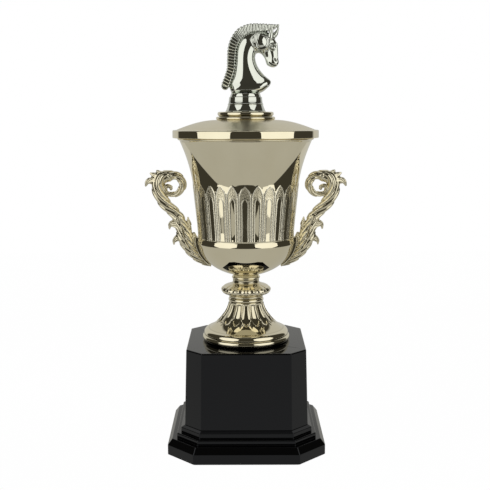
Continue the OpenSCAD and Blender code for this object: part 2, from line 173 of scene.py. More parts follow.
# %% Sweep a closed outline
def turned(outline, columns, relief=None):
    """outline: closed loop of (radius, height); columns: points per ring."""
    columns = np.broadcast_to(columns, len(outline))
    starts = np.concatenate([[0], np.cumsum(columns)])
    rings, quads, bridges = [], [], []
    for (r, z), m in zip(outline, columns):
        a = np.arange(m) * 2 * math.pi / m
        rr, zz = np.full(m, float(r)), np.full(m, float(z))
        if relief is not None:
            dr, dz = relief(a, rr, zz)
            rr, zz = rr + dr, zz + dz
        rings.append(np.stack([rr * np.cos(a), rr * np.sin(a), zz], 1))
    for j in range(len(outline)):
        k = (j + 1) % len(outline)
        m, n, s, t = columns[j], columns[k], starts[j], starts[k]
        if m == n:
            i = np.arange(m)
            quads.append(np.stack([s + i, s + (i + 1) % m, t + (i + 1) % m, t + i], 1))
        elif n > m:
            i, q = np.arange(m), n // m
            upper = [t + (i * q + v) % n for v in range(q, -1, -1)]
            bridges.append(np.stack([s + i, s + (i + 1) % m, *upper], 1))
        else:
            i, q = np.arange(n), m // n
            lower = [s + (i * q + v) % m for v in range(q + 1)]
            bridges.append(np.stack([*lower, t + (i + 1) % n, t + i], 1))
    return np.concatenate(rings), [np.concatenate(quads), *bridges]


# %% [markdown]
# ## Carving a shape as a distance field
#
# Cast figures have no axis. They are carved as a field instead: each point
# of a box of small cells holds its distance from the wanted surface, below
# zero inside. Strokes and plates are blended with a soft minimum, which
# makes the fillets that a foundry pattern would have. The zero surface is
# then turned into quads.


# %% Fields and strokes
class Field:
    """A box of cells in mm, symmetric about y = 0, seen from the side."""

    def __init__(self, x0, x1, z0, z1, depth, cell):
        self.cell = cell
        self.x = np.arange(x0, x1, cell, dtype=np.float32)
        self.z = np.arange(z0, z1, cell, dtype=np.float32)
        self.y = np.arange(-depth, depth + cell, cell, dtype=np.float32)
        self.X, self.Z = np.meshgrid(self.x, self.z, indexing="ij")
        self.Y = self.y[None, :, None]
        self.value = np.full((len(self.x), len(self.y), len(self.z)), 9.0, np.float32)

    def add(self, shape, blend=0.8):
        h = np.clip(0.5 + 0.5 * (self.value - shape) / blend, 0, 1)
        self.value = self.value * (1 - h) + shape * h - blend * h * (1 - h)

    def cut(self, shape, blend=0.4):
        h = np.clip(0.5 - 0.5 * (self.value + shape) / blend, 0, 1)
        self.value = self.value * (1 - h) - shape * h + blend * h * (1 - h)

    def along(self, chain):
        """For each cell: side, distance, radius and length along a chain."""
        pts = np.array(chain, float)
        best = np.full(self.X.shape, 1e9)
        side, dist, rad, run = (np.zeros(self.X.shape) for _ in range(4))
        gone = 0.0
        for p, q in zip(pts[:-1], pts[1:]):
            dx, dz = q[0] - p[0], q[1] - p[1]
            length = math.hypot(dx, dz)
            t = np.clip(((self.X - p[0]) * dx + (self.Z - p[1]) * dz) / length**2, 0, 1)
            ex, ez = self.X - p[0] - t * dx, self.Z - p[1] - t * dz
            d, r = np.hypot(ex, ez), p[2] + t * (q[2] - p[2])
            near = d - r < best
            best = np.where(near, d - r, best)
            dist, rad = np.where(near, d, dist), np.where(near, r, rad)
            run = np.where(near, gone + t * length, run)
            side = np.where(near, np.sign(dx * ez - dz * ex), side)
            gone += length
        return side, dist, rad, run

    def stroke(self, chain, flat=1.0, ribs=0.0, pitch=3.0, twist=0.5):
        """A tapered round stroke; ribs run slantwise round it."""
        side, dist, rad, run = self.along(bent(chain))
        shape = np.sqrt(dist[:, None] ** 2 + (self.Y / flat) ** 2) - rad[:, None]
        if ribs:
            turn = twist * side * dist / np.maximum(rad, 0.5)
            wave = np.abs(np.sin(math.pi * (run / pitch + turn)))
            fade = smooth(rad / 2.5)
            shape = shape - (ribs * fade * (wave - 0.55))[:, None]
        return shape.astype(np.float32)

    def plate(self, outline, thick, edge, dome=0.0, reach=12.0):
        """A flat shape with soft edges that swells by dome to its middle."""
        inside = np.zeros(self.X.shape, bool)
        d = np.full(self.X.shape, 1e9)
        pts = np.asarray(outline, float)
        for p, q in zip(pts, np.roll(pts, -1, 0)):
            dx, dz = q - p
            t = np.clip(((self.X - p[0]) * dx + (self.Z - p[1]) * dz) / (dx * dx + dz * dz), 0, 1)
            d = np.minimum(d, np.hypot(self.X - p[0] - t * dx, self.Z - p[1] - t * dz))
            span = (p[1] > self.Z) != (q[1] > self.Z)
            with np.errstate(divide="ignore", invalid="ignore"):
                inside ^= span & (self.X < (q[0] - p[0]) * (self.Z - p[1]) / (q[1] - p[1]) + p[0])
        d = np.where(inside, -d, d)
        a, b = (d + edge)[:, None], np.abs(self.Y) - (thick - edge)
        shape = np.hypot(np.maximum(a, 0), np.maximum(b, 0)) + np.minimum(np.maximum(a, b), 0) - edge
        swell = dome * np.sqrt(np.clip(-d / reach, 0, 1))
        return (shape - swell[:, None]).astype(np.float32)

    def inflated(self, outline, thick):
        """A pillow over an outline, round from edge to edge."""
        d = self.plate(outline, 50, 0.01)[:, len(self.y) // 2].astype(float)
        inside = d < 0
        u = np.zeros_like(d)
        for _ in range(3000):
            u[1:-1, 1:-1] = 0.25 * (u[2:, 1:-1] + u[:-2, 1:-1] + u[1:-1, 2:] + u[1:-1, :-2] + self.cell**2)
            u[~inside] = 0
        u = np.where(inside, u, -2.0 * d) * thick**2 / u.max()
        slope = np.hypot(*np.gradient(u, self.cell))
        f = self.Y**2 - u[:, None]
        return (f / np.sqrt(slope[:, None] ** 2 + 4 * self.Y**2 + 2)).astype(np.float32)

    def blob(self, x, z, y, rx, rz, ry):
        """A pair of ellipsoids at plus and minus y."""
        k = np.sqrt(
            ((self.X - x) / rx)[:, None] ** 2 + ((self.Z - z) / rz)[:, None] ** 2
            + ((np.abs(self.Y) - y) / ry) ** 2)
        return ((k - 1) * min(rx, rz, ry)).astype(np.float32)

    def mesh(self):
        grid = openvdb.FloatGrid(3.0)
        grid.copyFromArray(np.clip(self.value / self.cell, -3, 3))
        points, quads = grid.convertToQuads(isovalue=0.0)
        start = np.array([self.x[0], self.y[0], self.z[0]])
        points = points * self.cell + start
        a, b, c = (points[quads[:, v]] for v in (0, 1, 2))
        if (np.cross(b - a, c - a) * (a - points.mean(0))).sum() < 0:
            quads = quads[:, ::-1]
        return points, [np.ascontiguousarray(quads)]


def bent(chain, steps=6):
    """A smooth curve through the points of a chain, size included."""
    pts = np.array(chain, float)
    if len(pts) < 3:
        return pts
    ends = np.vstack([2 * pts[0] - pts[1], pts, 2 * pts[-1] - pts[-2]])
    out = []
    for a, b, c, d in zip(ends[:-3], ends[1:-2], ends[2:-1], ends[3:]):
        for t in np.arange(steps) / steps:
            out.append(0.5 * (2 * b + (c - a) * t + (2 * a - 5 * b + 4 * c - d) * t**2
                              + (3 * b - a - 3 * c + d) * t**3))
    return np.array(out + [pts[-1]])


# %% [markdown]
# ## The finishes
#
# The gold is not yellow: it is a pale champagne plating, close to nickel,
# whose reflections carry the only strong colour. Real plating is never
# perfect, so each metal gets a faint orange-peel ripple, a cloudy change in
# sharpness and a few hairline wipes. All of it is made from noise.


# %% Node helpers
def new_finish(name):
    finish = bpy.data.materials.new(name)
    finish.use_nodes = True
    nodes, links = finish.node_tree.nodes, finish.node_tree.links
    nodes.clear()
    out = nodes.new("ShaderNodeOutputMaterial")
    shader = nodes.new("ShaderNodeBsdfPrincipled")
    links.new(shader.outputs[0], out.inputs[0])
    place = nodes.new("ShaderNodeTexCoord").outputs["Object"]
    return finish, nodes, links, shader, place


def noise(nodes, links, place, scale, detail=3.0, stretch=(1, 1, 1)):
    mapping = nodes.new("ShaderNodeMapping")
    mapping.inputs["Scale"].default_value = stretch
    links.new(place, mapping.inputs[0])
    tex = nodes.new("ShaderNodeTexNoise")
    tex.inputs["Scale"].default_value = scale
    tex.inputs["Detail"].default_value = detail
    links.new(mapping.outputs[0], tex.inputs["Vector"])
    return tex.outputs["Fac"]


def spread(nodes, links, value, a, b, low_in=0.0, high_in=1.0):
    """Maps a value from one span to another."""
    node = nodes.new("ShaderNodeMapRange")
    for socket, number in zip(("From Min", "From Max", "To Min", "To Max"), (low_in, high_in, a, b)):
        node.inputs[socket].default_value = number
    links.new(value, node.inputs["Value"])
    return node.outputs[0]


def blend_colours(nodes, links, value, first, second):
    mix = nodes.new("ShaderNodeMix")
    mix.data_type = "RGBA"
    links.new(value, mix.inputs["Factor"])
    colours = [s for s in mix.inputs if s.type == "RGBA"]
    colours[0].default_value = (*first, 1)
    colours[1].default_value = (*second, 1)
    return next(s for s in mix.outputs if s.type == "RGBA")


def add_bump(nodes, links, shader, height, strength, distance):
    bump = nodes.new("ShaderNodeBump")
    bump.inputs["Strength"].default_value = strength
    bump.inputs["Distance"].default_value = distance
    links.new(height, bump.inputs["Height"])
    links.new(bump.outputs[0], shader.inputs["Normal"])


# %% Plated metals
def plating(name, light, dark, rough, ripple, satin_above=None, painted_crevice_shade=None):
    """A mirror plating whose tone drifts a little, with painted shade darkening its crevices."""
    finish, nodes, links, shader, place = new_finish(name)
    shader.inputs["Metallic"].default_value = 1.0
    cloud = spread(nodes, links, noise(nodes, links, place, 28.0, 4.0), 0, 1, 0.35, 0.7)
    tone = blend_colours(nodes, links, cloud, light, dark)
    # painted shade: the colour darkens where the surface is hollow (low pointiness), standing in for shade in
    # the crevices
    if painted_crevice_shade is not None:
        hollow = nodes.new("ShaderNodeNewGeometry").outputs["Pointiness"]
        depth = nodes.new("ShaderNodeMixRGB")
        depth.inputs["Color1"].default_value = (*painted_crevice_shade, 1)
        links.new(spread(nodes, links, hollow, 0, 1, 0.44, 0.505), depth.inputs[0])
        links.new(tone, depth.inputs["Color2"])
        tone = depth.outputs[0]
    links.new(tone, shader.inputs["Base Color"])
    wipes = spread(nodes, links, noise(nodes, links, place, 160.0, 2.0, (1, 1, 0.08)), *rough, 0.35, 0.75)
    if satin_above is not None:
        level = nodes.new("ShaderNodeSeparateXYZ")
        links.new(place, level.inputs[0])
        satin = spread(nodes, links, level.outputs["Z"], 0, 0.26, satin_above * MM, (satin_above + 0.4) * MM)
        total = nodes.new("ShaderNodeMath")
        links.new(wipes, total.inputs[0])
        links.new(satin, total.inputs[1])
        wipes = total.outputs[0]
    links.new(wipes, shader.inputs["Roughness"])
    add_bump(nodes, links, shader, noise(nodes, links, place, 240.0, 1.0), ripple, 0.0004)
    return finish


GOLD, GOLD_DEEP = (0.885, 0.825, 0.65), (0.86, 0.795, 0.61)
gold_sheet = plating("gold_sheet", GOLD, GOLD_DEEP, (0.02, 0.05), 0.02)
# the castings get painted crevice shade, a dark colour mixed into their hollows
gold_casting = plating("gold_casting", GOLD, GOLD_DEEP, (0.01, 0.05), 0.02, painted_crevice_shade=(0.16, 0.13, 0.05))
silver_casting = plating("silver_casting", (0.82, 0.85, 0.80), (0.77, 0.80, 0.75), (0.02, 0.06), 0.02,
                         painted_crevice_shade=(0.05, 0.05, 0.045))
zinc = plating("zinc_steel", (0.66, 0.68, 0.72), (0.56, 0.57, 0.56), (0.18, 0.36), 0.15)

# %% [markdown]
# The pressed leaf band has two looks side by side: polished leaf faces, and
# a stippled ground between the outlines. The mesh carries two marks from 0
# to 1 that say where the stipple is and where the raised lines are. The
# finish reads both: a raised line gets a painted highlight, a paler colour,
# and is less sharp, so it stays bright whatever it mirrors.


# %% Finish of the pressed band
def stippled_plating(name):
    finish, nodes, links, shader, place = new_finish(name)
    shader.inputs["Metallic"].default_value = 1.0
    mark = nodes.new("ShaderNodeAttribute")
    mark.attribute_name = "stipple"
    cloud = spread(nodes, links, noise(nodes, links, place, 28.0, 4.0), 0, 1, 0.35, 0.7)
    line = nodes.new("ShaderNodeAttribute")
    line.attribute_name = "line"
    # painted highlight: the raised lines are mixed toward a pale colour so they look bright whatever they
    # mirror
    lit = nodes.new("ShaderNodeMixRGB")
    lit.inputs["Color2"].default_value = (1.0, 0.98, 0.88, 1)
    links.new(line.outputs["Fac"], lit.inputs[0])
    links.new(blend_colours(nodes, links, cloud, GOLD, GOLD_DEEP), lit.inputs["Color1"])
    links.new(lit.outputs[0], shader.inputs["Base Color"])
    rough = nodes.new("ShaderNodeMath")
    rough.operation = "MAXIMUM"
    links.new(spread(nodes, links, mark.outputs["Fac"], 0.025, 0.17), rough.inputs[0])
    links.new(spread(nodes, links, line.outputs["Fac"], 0.0, 0.42), rough.inputs[1])
    links.new(rough.outputs[0], shader.inputs["Roughness"])
    grain = nodes.new("ShaderNodeTexVoronoi")
    grain.inputs["Scale"].default_value = 1250.0
    links.new(place, grain.inputs["Vector"])
    depth = nodes.new("ShaderNodeMath")
    depth.operation = "MULTIPLY"
    links.new(grain.outputs["Distance"], depth.inputs[0])
    links.new(mark.outputs["Fac"], depth.inputs[1])
    add_bump(nodes, links, shader, depth.outputs[0], 0.35, 0.0004)
    return finish


gold_pressed = stippled_plating("gold_pressed")


# %% [markdown]
# Gloss black moulding is a deep black under a sharp surface. What gives it
# away as plastic is the slight waviness of the big flat walls and the
# cloudy handling marks, so those drive the roughness and a broad bump.


# %% Black moulding, felt, cast iron
def solid_finish(name, first, second, scale, rough, strength, depth, metallic=0.0):
    finish, nodes, links, shader, place = new_finish(name)
    shader.inputs["Metallic"].default_value = metallic
    grain = noise(nodes, links, place, scale, 5.0)
    links.new(blend_colours(nodes, links, grain, first, second), shader.inputs["Base Color"])
    links.new(spread(nodes, links, grain, *rough, 0.35, 0.75), shader.inputs["Roughness"])
    add_bump(nodes, links, shader, noise(nodes, links, place, scale * 1.6, 1.0), strength, depth)
    return finish


gloss_black = solid_finish(
    "gloss_black", (0.0011, 0.0011, 0.0016), (0.0022, 0.0022, 0.0028), 14.0, (0.03, 0.08), 0.03, 0.002)
black_shader = gloss_black.node_tree.nodes["Principled BSDF"]
black_shader.inputs["Specular IOR Level"].default_value = 0.42
black_shader.inputs["Specular Tint"].default_value = (0.86, 0.89, 1.0, 1)
felt = solid_finish("felt", (0.012, 0.035, 0.02), (0.03, 0.075, 0.045), 900.0, (0.85, 1.0), 0.8, 0.0005)
iron = solid_finish("cast_iron", (0.06, 0.06, 0.06), (0.16, 0.15, 0.14), 350.0, (0.5, 0.8), 0.6, 0.0005, 1.0)
print("finishes:", sorted(m.name for m in bpy.data.materials if m.use_nodes))

# %% [markdown]
# ## The black base
#
# The plinth and the column are squares with chamfered corners, moulded as
# shells. `block` sweeps an outline of half widths and heights round that
# square; where the outline reaches the rod hole, the ring becomes a circle.

# %% Chamfered square pieces
felt_top = high("base_felt")[2]
half_w = high("plinth")[0]
z_column = low("column")[2]
column_half, z_foot = high("column")[0], high("column")[2]
rod_hole = high("tie_rod")[0] + 0.3
REACH = 12.8  # how far the corner faces stand beyond the sides
WALL = 3.0


def square_ring(half):
    """Points round a chamfered square with soft upright edges."""
    far = math.sqrt(2) * (half + REACH) - half
    corners = [(half, -far), (half, far), (far, half), (-far, half),
               (-half, far), (-half, -far), (-far, -half), (far, -half)]
    return rounded([(x, y, 1.8) for x, y in corners])


def block(outline):
    """Sweeps (half width, height) round the square."""
    rings = []
    for half, z in outline:
        ring = square_ring(max(half, 10))
        if half < 8:
            a = np.arctan2(ring[:, 1], ring[:, 0])
            ring = half * np.stack([np.cos(a), np.sin(a)], 1)
        rings.append(np.column_stack([ring, np.full(len(ring), z)]))
    m, n = len(rings[0]), len(rings)
    i, j = np.meshgrid(np.arange(m), np.arange(n), indexing="ij")
    i2, j2 = (i + 1) % m, (j + 1) % n
    faces = np.stack([j * m + i, j * m + i2, j2 * m + i2, j2 * m + i], 2).reshape(-1, 4)
    return np.concatenate(rings), [faces]


seat = column_half + 0.4
run = half_w - seat
slope_h, step1_h, step2_h = (half_w - k * run for k in (0.275, 0.55, 0.8))
z_edge = felt_top + 9.5
z_slope = z_edge + 5.7
z_step1, z_step2 = z_slope + 5, z_slope + 10
inner = min(step2_h, seat + 3) - WALL
key = column_half - WALL - 0.3
plinth = rounded([
    (half_w, felt_top, 0.5), (half_w, z_edge, 0.7), (slope_h, z_slope, 0.6),
    (step1_h, z_slope, 0.4), (step1_h, z_step1, 1.1), (step2_h, z_step1, 0.4),
    (step2_h, z_step2, 0.6), (seat, z_column, 0.4), (key, z_column, 0.2),
    (key - 0.2, z_column + 3, 0.5), (rod_hole, z_column + 3, 0.2),
    (rod_hole, z_column - 3.5, 0.2), (inner, z_column - 3.5, 0.5),
    (inner, z_edge - WALL, 0.5), (half_w - WALL, z_edge - WALL, 0.5),
    (half_w - WALL, felt_top, 0.3)])
add_piece("plinth_moulding", *block(plinth), "cup", "black_plastic", ["plinth"], gloss_black)
column_top = column_half - 2.0
column = rounded([
    (column_half, z_column, 0.4), (column_top, z_foot, 1.2), (rod_hole, z_foot, 0.2),
    (rod_hole, z_foot - 5, 0.2), (column_top - WALL, z_foot - 5, 0.5),
    (column_half - WALL, z_column, 0.3)])
add_piece("column_moulding", *block(column), "cup", "black_plastic", ["column"], gloss_black)

# %% [markdown]
# Under the plinth sits a thin felt square, cut by hand, so its edge is a
# little wavy. Inside there is a cast iron plate for weight.


# %% Felt and ballast
def sheet_square(half, z0, z1, bore, wave):
    outline = rounded([(half, z0, 0.25), (half, z1, 0.25), (bore, z1, 0.1), (bore, z0, 0.1)], 2)
    points, faces = block(outline)
    a = np.arctan2(points[:, 1], points[:, 0])
    big = np.hypot(points[:, 0], points[:, 1]) > bore + 1
    sway = 1 + big * wave * (np.sin(7 * a) + 0.6 * np.sin(17 * a + 1) + 0.4 * np.sin(31 * a))
    points[:, :2] *= sway[:, None]
    return points, faces


add_piece("felt_pad", *sheet_square(half_w - 1.8, 0.0, felt_top, 0.5, 0.0012),
          "cup", "felt", ["base_felt"], felt)
plate_low, plate_high = low("ballast"), high("ballast")
add_piece("ballast_plate",
          *sheet_square(plate_high[0] - 0.3, plate_low[2], plate_high[2], rod_hole + 0.7, 0.0006),
          "cup", "cast_iron", ["ballast"], iron)

# %% [markdown]
# ## Foot and knop
#
# The foot is a cast ring, a fat roll and a slender cone. Long petals with
# raised edges stand round the cone, their points hanging down, with a small
# dart between every two. A raised line is simply a narrow hump in the
# distance from the petal's outline.

# %% Foot outline
foot_r = high("foot")[0]
z_knop = high("foot")[2]
PETALS = 16
waist = high("knop")[0] - 7.1
roll_r = 4.9
roll_x, roll_z = foot_r - 1.4 - roll_r, z_foot + 7.1
z_cone = roll_z + roll_r
cone_h = 26.4
z_beads = z_cone + cone_h
cone = curve((roll_x, z_cone), (waist + 0.61 * (roll_x - waist), z_cone + 0.17 * cone_h),
             (waist + 1, z_cone + 0.55 * cone_h), (waist, z_beads), 64)
foot = np.vstack([
    [(foot_r - 5, z_foot)],
    arc(foot_r - 3.2, z_foot + 3.4, 3.2, -80, 70, 16),
    arc(roll_x, roll_z, roll_r, 0, 86, 18),
    cone[1:],
    arc(waist - 1.5, z_beads + 2, 2.0, -70, 70, 10),
    arc(waist - 1.1, z_beads + 5.55, 1.25, -65, 75, 8),
    [(waist - 1.1, z_knop - 0.05), (rod_hole, z_knop - 0.05),
     (rod_hole, z_beads - 1), (waist - 3.5, z_beads - 1),
     (waist - 1.2, z_cone + 0.6 * cone_h), (waist + 6.5, z_cone + 0.26 * cone_h),
     (roll_x - 4, z_foot + 8), (foot_r - 5, z_foot + 4)]])


# %% Petals on the cone
def ridge(distance, width=0.5):
    return np.exp(-(distance / width) ** 2)


def foot_relief(a, r, z):
    pitch = 2 * math.pi / PETALS
    u = (a + math.pi / 2) / pitch
    x = (u - np.round(u)) * pitch * r
    half_pitch = 0.5 * pitch * r
    t = (z - z_cone - 0.24 * cone_h) / (0.73 * cone_h)
    wide = 0.9 * half_pitch * np.sqrt(np.clip(t / 0.3, 0, 1)) * (1 - 0.12 * smooth((t - 0.3) / 0.7))
    on = smooth(t / 0.06) * smooth((1 - t) / 0.06) * (r > waist - 0.5)
    inside = np.clip(1 - np.abs(x) / np.maximum(wide, 0.3), 0, 1)
    petal = 0.5 * ridge(np.abs(x) - wide, 0.42) - 0.6 * smooth(inside * 1.6) * (wide > 0.4)
    y = half_pitch - np.abs(x)
    td = (z - z_cone - 0.2 * cone_h) / (0.32 * cone_h)
    dart_w = 0.34 * half_pitch * np.clip(td / 0.4, 0, 1) * np.clip((1 - td) / 0.6, 0, 1)
    dart = 0.35 * smooth(np.clip(1 - y / np.maximum(dart_w, 0.05), 0, 1) * 2) * (td > 0) * (td < 1)
    push = on * petal + dart * (r > waist + 1) * (r < roll_x - 1.6)
    return push, push * 0.25


in_cone = (foot[:, 1] > z_cone + 0.2) & (foot[:, 1] < z_beads) \
    & (foot[:, 0] > waist - 0.4) & (foot[:, 0] < roll_x - 1.6)
add_piece("foot_casting", *turned(foot, np.where(in_cone, 576, 192), foot_relief),
          "cup", "gold_casting", ["foot"], gold_casting)

# %% [markdown]
# The knop is a flattened ball. Petals fall from its neck over the rim and
# end in round tips underneath, so the rim looks scalloped from below.

# %% Knop
knop_r = high("knop")[0]
z_floor = high("knop")[2]
knop_h = 12.3
z_mid = z_knop + 0.38 * knop_h
z_neck = z_knop + knop_h
neck_r = 12.9
knop = np.vstack([
    [(rod_hole, z_knop), (waist - 2.2, z_knop)],
    curve((waist - 1.6, z_knop + 0.1), (waist + 0.6, z_knop + 0.2), (knop_r - 3, z_knop + 0.6),
          (knop_r - 1.6, z_mid - 2.5), 16),
    arc(knop_r - 3.2, z_mid, 3.2, -50, 50, 14),
    curve((knop_r - 1.3, z_mid + 2.7), (knop_r - 5, z_mid + 5.2), (neck_r + 1.2, z_mid + 5.8),
          (neck_r, z_neck), 20),
    [(neck_r, z_neck + 0.6), (neck_r, z_neck + 2.8)],
    arc(neck_r - 0.4, z_neck + 4.6, 1.3, -70, 70, 10),
    [(neck_r - 0.4, z_floor - 0.5), (neck_r - 1.1, z_floor - 0.02), (rod_hole, z_floor - 0.02)]])


def knop_relief(a, r, z):
    pitch = 2 * math.pi / PETALS
    u = (a + math.pi / 2) / pitch
    x = (u - np.round(u)) * 2
    on = smooth((r - neck_r + 0.2) / 2.5) * smooth((r - waist + 1.2) / 3) * (z < z_neck) * (z > z_knop)
    lobe = np.sqrt(np.clip(1 - (0.94 * x) ** 2, 0, 1))
    under = z < z_mid
    tip = np.where(under, smooth((r - (knop_r - 6.2) - 2.6 * (1 - lobe)) / 0.9), 1)
    vein = 0.28 * ridge(x * r * pitch / 2, 0.6) * ~under
    push = on * tip * (1.15 * (lobe - 0.75) + vein)
    return push, np.where(under, -0.35 * on * tip * lobe, 0)


petalled = (knop[:, 0] > neck_r + 0.05) & (knop[:, 1] > z_knop) & (knop[:, 1] < z_neck)
add_piece("knop_casting", *turned(knop, np.where(petalled, 576, 192), knop_relief),
          "cup", "gold_casting", ["knop"], gold_casting)

# %% [markdown]
# ## The cup
#
# The cup is spun from thin sheet: a full round bottom, a wall that opens
# very slightly, and a flare to the mouth with one rolled bead. A band of
# standing leaves is pressed into the lower wall. Each leaf is a pointed
# arch round a smaller round-topped arch, both with raised outlines.

# %% Cup profile
CUP_R, SHEET = 46.3, 1.2
z_mouth = high("bowl")[2]
z_cup = z_mouth - 102.3


def cup_radius(z):
    """Outer radius of the cup at a height."""
    z = np.asarray(z, float)
    down = np.clip((z_cup - z) / 38, 0, 1)
    u = np.maximum(z - z_cup, 0)
    wall = CUP_R + 0.104 * (u - 6 * (1 - np.exp(-u / 6)))
    flare = 11.3 * np.maximum(0, (z - z_mouth + 52.15) / 52.15) ** 1.85
    return np.where(z < z_cup, CUP_R * (1 - down**2.4) ** (1 / 1.8), wall + flare)


def round_bottom(grow, n):
    """Bottom of the cup by equal angles, from the floor up."""
    first = math.asin((11.9 / CUP_R) ** 0.9)
    a = np.linspace(first, math.pi / 2, n)
    return np.stack([(CUP_R + grow) * np.sin(a) ** (2 / 1.8),
                     z_cup - (38 + grow) * np.abs(np.cos(a)) ** (2 / 2.4)], 1)


LEAVES = 27
LEAF_TIP, LEAF_SIDE, VALLEY = z_cup + 52.8, z_cup + 40.9, z_cup + 46.6
ARCH_TIP, ARCH_SIDE = z_cup + 41.8, z_cup + 36.7
band_low, band_high = z_cup + 0.4, LEAF_TIP + 1.2


# %% Pressed leaves
def leaves(a, z):
    """Relief, amount of stipple and amount of line at an angle and height."""
    pitch = 2 * math.pi / LEAVES
    u = (a + math.pi / 2 + math.radians(1)) / pitch
    step = pitch * cup_radius(z)
    x = np.abs(u - np.round(u)) * step
    rise = np.clip((z - LEAF_SIDE) / (LEAF_TIP - LEAF_SIDE), 0, 1.3)
    outer = x - 0.43 * step * np.sign(1 - rise) * np.abs(1 - rise**2.1) ** 0.8
    top = np.clip((z - ARCH_SIDE) / (ARCH_TIP - ARCH_SIDE), 0, 1)
    inner_half = 0.235 * step * np.sqrt(1 - top**2)
    inner = np.where(z > ARCH_TIP, np.hypot(x, z - ARCH_TIP), x - inner_half)
    gap_top = z - VALLEY
    gap = np.maximum(-outer, gap_top)
    fade = smooth((z - band_low) / 1.0) * smooth((band_high - z) / 0.5)
    line = 0.3 * ridge(outer, 0.45) * (z < LEAF_TIP + 0.6) + 0.26 * ridge(inner, 0.42)
    line = np.maximum(line, 0.16 * ridge(gap_top, 0.34) * (outer > 0))
    panel = 0.05 * smooth(-inner / 2.2) * (z < ARCH_TIP)
    body = -0.05 * smooth((inner - 0.5) / 0.6) * smooth((-outer - 0.4) / 0.6)
    ground = -0.07 * smooth((-gap - 0.3) / 0.6)
    foot_line = 0.2 * ridge(z - band_low - 0.9, 0.5)
    stipple = smooth((inner - 0.5) / 0.5) * smooth((-outer - 0.45) / 0.5)
    stipple = np.maximum(stipple, smooth((-gap - 0.35) / 0.5)) * smooth((z - band_low - 1.2) / 0.5)
    return fade * (line + panel + body + ground) + foot_line, stipple * fade, fade * line / 0.3


def bowl_relief(a, r, z):
    skin = np.abs(r - cup_radius(z)) < 0.05
    band = skin & (z > band_low - 0.6) & (z < band_high + 0.2)
    return np.where(band, leaves(a, z)[0], 0), 0 * z


band_z = np.linspace(band_low - 0.3, band_high + 0.1, 74)
up_z = np.concatenate([np.linspace(band_high + 0.6, z_mouth - 8.6, 26)])
bead_z = z_mouth - 7.3
lip_z = np.linspace(z_mouth - 6.0, z_mouth - 0.5, 8)
bottom = round_bottom(0, 30)
turn_z = np.linspace(z_cup - 14, z_cup - 0.4, 20)
bottom = np.vstack([bottom[bottom[:, 1] < z_cup - 14.5], np.stack([cup_radius(turn_z), turn_z], 1)])
# a soft bead under the band, this far out and this far below the cup's round
BEAD_OUT, BEAD_DOWN, BEAD_WIDE = 1.4, 5.0, 3.8
bottom[:, 0] += BEAD_OUT * np.exp(-((bottom[:, 1] - z_cup + BEAD_DOWN) / BEAD_WIDE) ** 2)
in_z = np.linspace(z_cup + 6, z_mouth - 0.5, 18)


def skin(z, grow=0.0):
    return np.stack([cup_radius(z) + grow, z], 1)


mouth_r = float(cup_radius(z_mouth))
bowl = np.vstack([
    [(rod_hole, z_floor), (9.0, z_floor)], bottom, skin(np.array([z_cup - 0.1])), skin(band_z), skin(up_z),
    arc(float(cup_radius(bead_z)) + 0.2, bead_z, 0.95, -80, 80, 9), skin(lip_z),
    arc(mouth_r - 0.6, z_mouth - 0.6, 0.6, 5, 175, 8), skin(in_z[::-1], -SHEET),
    round_bottom(-SHEET, 18)[::-1], [(9.0, z_floor + SHEET), (rod_hole, z_floor + SHEET)]])
fine = (np.abs(bowl[:, 0] - cup_radius(bowl[:, 1])) < 0.05) \
    & (bowl[:, 1] > band_low - 0.4) & (bowl[:, 1] < band_high + 0.2)
points, faces = turned(bowl, np.where(fine, LEAVES * 32, LEAVES * 8), bowl_relief)
angle = np.arctan2(points[:, 1], points[:, 0])
outside = np.hypot(points[:, 0], points[:, 1]) > cup_radius(points[:, 2]) - 0.7
in_band = outside & (points[:, 2] > band_low - 0.6) & (points[:, 2] < band_high + 0.2)
stippled, lined = (np.where(in_band, part, 0) for part in leaves(angle, points[:, 2])[1:])
add_piece("cup_shell", points, faces, "cup", "gold_sheet", ["bowl"], gold_pressed,
          {"stipple": stippled, "line": lined})

# %% [markdown]
# ## The cast handles
#
# Each handle is one flat casting. A rope-ribbed scroll curls beside the cup,
# a leafy shoulder with a turned-down beak tops it, and an arm runs down
# into a leaf that hugs the round of the cup. They are drawn as tapered
# strokes, each a chain of (out from the cup's side, up from the end of its
# round, radius), so that the handle follows the cup if the cup changes.

# %% Carve one handle
handle_low, handle_high = low("handle_right"), high("handle_right")


def at_cup(*chain):
    return [(CUP_R + x, z_cup + z, r) for x, z, r in chain]


carve = Field(handle_low[0] - 3, handle_high[0] + 2, handle_low[2] - 3, handle_high[2] + 3, 7.5, 0.36)
scroll = at_cup((26.5, 60.2, 4.0), (20.5, 59.6, 4.0), (15.8, 55.6, 3.8), (14.7, 50.6, 3.7),
                (16.8, 45.4, 3.3), (21, 42.2, 2.8), (26, 41.5, 2.5), (30.6, 43.4, 2.4),
                (32.2, 47.0, 2.3), (29.8, 49.6, 2.1), (26.6, 48.6, 1.9), (25.9, 47.3, 1.7))
carve.add(carve.stroke(scroll, 1.15, 0.7, 10.0, 1.25))
shoulder = at_cup((26, 60.2, 4.2), (31.5, 60.0, 5.0), (36.0, 57.0, 5.9), (38.6, 51.5, 6.2),
                  (38.2, 44.5, 6.0), (35.2, 37.5, 5.8), (30.2, 30.7, 5.7), (23.6, 24.4, 5.4),
                  (19.4, 19.0, 5.6))
carve.add(carve.stroke(shoulder, 0.9, 0.85, 12.0, 1.45), 1.2)
